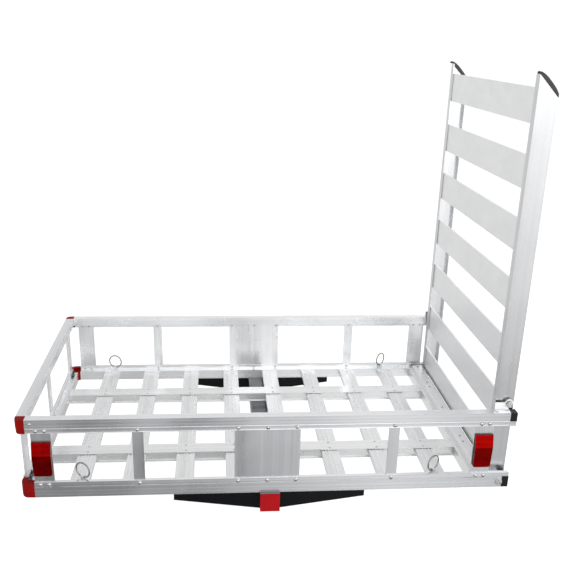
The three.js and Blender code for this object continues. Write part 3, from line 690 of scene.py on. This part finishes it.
def add_cap_screws():
    """Small screws into both skirts of the upper corner caps and the end skirts of the lower ones"""
    bm = bmesh.new()
    head = (3.9, 2.2)  # radius and height
    upper_in, upper_down = 37 * MM, 11.5 * MM
    lower_in, lower_up = 42 * MM, 15 * MM
    for side, out in SIDES.items():
        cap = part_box(f"cap_upper_{side}")
        left, corner, z = cap[0].x, outer_y(cap, out), cap[1].z - upper_down
        bolt_head(bm, (left + upper_in, corner, z), (0, out, 0), *head)
        bolt_head(bm, (left, corner - out * upper_in, z), (-1, 0, 0), *head)
        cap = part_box(f"cap_lower_{side}")
        left, corner, z = cap[0].x, outer_y(cap, out), cap[0].z + lower_up
        bolt_head(bm, (left, corner - out * lower_in, z), (-1, 0, 0), *head)
    make_piece("cap_screws", bm, "plated", "carrier")


def add_subframe_bolts():
    """Hex screws up through the cross brackets, and weld beads where they meet the shank"""
    bolts = bmesh.new()
    beads = bmesh.new()
    dice = random.Random(7)
    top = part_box("hitch_subframe")[1].z
    for side, out in SIDES.items():
        face = outer_y(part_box(f"rail_lower_{side}"), out)
        for x in SCREW_XS:
            place = (x, face - out * BRACKET_WIDTH / 2, top - WEB_DOWN)
            lathe(bolts, [(0, 0), (6.6, 0), (6.6, 1), (0, 1)], place, (0, 0, -1), 20)
            lathe(bolts, [(0, 1), (5.6, 1), (5.6, 4.6), (5, 5.2), (0, 5.2)], place, (0, 0, -1), 6)
        for sign in (-1, 1):
            for y, outward in ((face, out), (face - out * BRACKET_WIDTH, -out)):
                for step in range(SEAM_BEADS):
                    z = top - (SEAM_DOWN + step * SEAM_PITCH) * MM
                    place = (sign * (SHANK_HALF + 0.3) * MM, y + outward * 0.2 * MM, z)
                    size = 2.5 + dice.uniform(-0.3, 0.3)
                    lathe(beads, [(0, -0.8), (size, -0.2), (size * 0.86, 0.9), (size * 0.5, 1.6), (0, 1.85)],
                          place, (sign, outward, 0.25), 12)
    make_piece("subframe_screws", bolts, "plated", "carrier")
    make_piece("weld_beads", beads, "coated_steel", "carrier")


def add_rings():
    """Smooth wire rings in place of the faceted ones, each with its butt weld at the side"""
    steps, spokes = 64, 14
    for side in SIDES:
        for end in ("left", "right"):
            name = f"ring_{side}_{end}"
            joint = next(j for j in frame["joints"] if j["child"] == name)
            hinge_axis = Vector(joint["axis"]).normalized()
            normal = hinge_axis.cross(UP)
            centre = Vector(joint["pos_m"]) + UP * RING_RADIUS
            bm = bmesh.new()
            hoops = []
            for i in range(steps):
                a = 2 * math.pi * i / steps
                out = hinge_axis * math.cos(a) + UP * math.sin(a)
                swell = 1 + WELD_SWELL * math.exp(-((math.degrees(a) - WELD_AT) / WELD_SPREAD) ** 2)
                hoop = []
                for k in range(spokes):
                    b = 2 * math.pi * k / spokes
                    hoop.append(bm.verts.new(centre + out * (RING_RADIUS + WIRE_RADIUS * swell * math.cos(b))
                                             + normal * WIRE_RADIUS * swell * math.sin(b)))
                hoops.append(hoop)
            skin(bm, hoops, closed=True)
            piece = make_piece(f"wire_{name}", bm, "wire", name)
            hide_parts(name)


# outer and inner line of the rubber strip on a stile's slope, in mm from the stile's outer top corner
TRIM_OUTER = [(-53.4, 1.5), (-53.0, 4.6), (-51.0, 6.4), (-44.0, 5.0), (-36.0, 0.5), (-28.0, -6.0),
              (-19.0, -15.2), (-10.0, -25.0), (-4.0, -33.0), (0.6, -41.0), (0.8, -48.0)]
TRIM_INNER = [(-52.8, 0.6), (-51.6, 0.4), (-50.2, 0.4), (-48.2, 0.5), (-42.0, -5.6), (-34.8, -12.8),
              (-25.6, -22.0), (-16.2, -31.4), (-9.2, -38.4), (-3.6, -44.0), (0.4, -48.3)]
TRIM_WIDTH = 6 * MM
RIB_PROUD = 0.45 * MM  # of the stile's face; the grooves between the ribs lie behind it
GROOVE_PROUD = -0.1 * MM


def trim_stations():
    """Pairs of (outer, inner) points along the two lines, four to a stretch"""
    steps = 4
    last = len(TRIM_OUTER) - 2
    stations = []
    for i in range(last + 1):
        for k in range(steps + 1 if i == last else steps):
            t = k / steps
            stations.append([tuple(a + (b - a) * t for a, b in zip(line[i], line[i + 1]))
                             for line in (TRIM_OUTER, TRIM_INNER)])
    return stations


def add_stile_trims():
    """Ribbed rubber strips, thick in the middle, along the slanted tops of the stiles"""
    for side in SIDES:
        low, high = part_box(f"ramp_stile_{side}")
        bm = bmesh.new()
        hoops = []
        for k, (outer, inner) in enumerate(trim_stations()):
            proud = RIB_PROUD if k % 2 else GROOVE_PROUD
            if side == "front":
                near, far = low.y - proud, low.y + TRIM_WIDTH
            else:
                near, far = high.y - TRIM_WIDTH, high.y + proud
            hoops.append([bm.verts.new((high.x + x * MM, y, high.z + z * MM))
                          for (x, z), y in ((outer, near), (outer, far), (inner, far), (inner, near))])
        skin(bm, hoops)
        make_piece(f"stile_trim_{side}", bm, "trim", "ramp")


def add_gap_shadow_strip():
    """Grey strip on the hinge rail's outer edge, in the gap to the closed ramp: a painted shadow line that
    darkens the gap where there is only shade
    """
    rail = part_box("rail_hinge")[1]
    stile_gap, thick, foot_down, top_down = 3 * MM, 3.2 * MM, 11 * MM, 3 * MM
    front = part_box("ramp_stile_front")[1].y + stile_gap
    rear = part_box("ramp_stile_rear")[0].y - stile_gap
    bm = bmesh.new()
    # painted shadow: this strip stands in for the shade in the gap
    add_block(bm, (rail.x, front, rail.z - foot_down), (rail.x + thick, rear, rail.z - top_down))
    make_piece("gap_shadow_strip", bm, "gap_shadow_grey", "carrier")


# half-round bead, (outwards, up) in mm
BEAD = [(-0.4, -0.9), (0.0, -0.9), (0.5, -0.75), (0.8, -0.3),
        (0.8, 0.3), (0.5, 0.75), (0.0, 0.9), (-0.4, 0.9)]


def bead(bm, start, end, out):
    """Half-round bead between two points on a face whose outward direction is out"""
    skin(bm, [[bm.verts.new(Vector(place) + Vector(out) * (o * MM) + UP * (u * MM)) for o, u in BEAD]
              for place in (start, end)])


def add_rail_beads():
    """Beads along the upper rails: where the flange leaves the box, and along the flange's foot"""
    bm = bmesh.new()
    for side, out in SIDES.items():
        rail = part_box(f"rail_upper_{side}")
        low = rail[0]
        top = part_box(f"cap_upper_{side}")[1].z
        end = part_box(f"plug_upper_{side}")[1].x - END_REACH
        for z, inset in ((top - UPPER_BOX, 0.0), (low.z + BEAD_UP, FLANGE_INSET)):
            y = outer_y(rail, out) - out * inset
            bead(bm, (low.x + BEAD_SHORT, y, z), (end, y, z), (0, out, 0))
    low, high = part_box("rail_upper_left")
    for z, inset in ((high.z - UPPER_BOX, 0.0), (low.z + BEAD_UP, FLANGE_INSET)):
        x = low.x + inset
        bead(bm, (x, low.y + BEAD_SHORT, z), (x, high.y - BEAD_SHORT, z), (-1, 0, 0))
    make_piece("rail_beads", bm, "rail_x", "carrier")


def add_channel_strips():
    """Flat strips that close the lower rails' channels between the posts"""
    bm = bmesh.new()
    for side in SIDES:
        posts = long_side_posts(side)
        near, far = posts[0][0].y, posts[0][1].y
        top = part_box(f"rail_lower_{side}")[0].z + STRIP_TOP_UP
        starts = [post[1].x for post in posts]
        ends = [post[0].x for post in posts[1:]] + [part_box(f"plug_lower_{side}")[1].x - 1 * MM]
        for start, end in zip(starts, ends):
            add_block(bm, (start + STRIP_GAP, near, top - STRIP_THICK), (end - STRIP_GAP, far, top))
    posts = [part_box(f"post_left_{place}") for place in END_BOLTS]
    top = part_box("rail_lower_left")[0].z + STRIP_TOP_UP
    for one, two in zip(posts, posts[1:]):
        low = (one[0].x, one[1].y + STRIP_GAP, top - STRIP_THICK)
        add_block(bm, low, (one[1].x, two[0].y - STRIP_GAP, top))
    make_piece("channel_strips", bm, "rail_x", "carrier")


LATCH_INSET = 19 * MM  # outer face of a latch bracket, behind the outer face of its rail
LATCH_PLATE = 36.8 * MM  # length of the bracket's straight part, back from the end of the rail's box
EAR_GAP = 10 * MM  # from the middle of the latch pin back to the plates' ends
# blocks of a latch plate in mm: foot and top above the corner cap, back and front out from the bracket's face
LATCH_BLOCKS = [(3.0, 9.0, 0, 0.9), (9.4, 19.4, 0, 0.5), (19.6, 20.3, -3.6, 0.5)]
EAR_RING = [(9.2, 0.0), (11.4, 0.0), (11.5, 0.5), (11.0, 0.9), (9.4, 0.9)]


def add_latch_plates():
    """Bright plates over the latch brackets: a lower and an upper strip with a crease between, a cover
    over their top edge, and a ring round the ear"""
    for side, out in SIDES.items():
        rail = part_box(f"rail_upper_{side}")
        pin_low, pin_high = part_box(f"latch_pin_{side}")
        middle = (pin_low + pin_high) / 2
        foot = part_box(f"cap_upper_{side}")[1].z
        face = outer_y(rail, out) - out * LATCH_INSET
        start = rail[1].x - END_REACH - LATCH_PLATE
        end = middle.x - EAR_GAP
        bm = bmesh.new()
        for z0, z1, back, front in LATCH_BLOCKS:
            ys = sorted((face + out * back * MM, face + out * front * MM))
            add_block(bm, (start, ys[0], foot + z0 * MM), (end, ys[1], foot + z1 * MM))
        turned_ring(bm, EAR_RING, (middle.x, face, middle.z), (0, out, 0), 40)
        make_piece(f"latch_plate_{side}", bm, "bright_plate", "carrier")


make_camera()
make_floor()
make_world()
make_lights()
finish_cad_nodes()
add_side_bolts()
add_end_bolts()
add_deck_rivets()
add_hinge_rail_rivets()
add_cap_screws()
add_subframe_bolts()
add_rings()
add_stile_trims()
add_gap_shadow_strip()
add_latch_plates()
add_rail_beads()
add_channel_strips()

bpy.context.scene.view_settings.view_transform = "Standard"
bpy.context.scene.view_settings.look = "None"

bpy.context.view_layer.update()
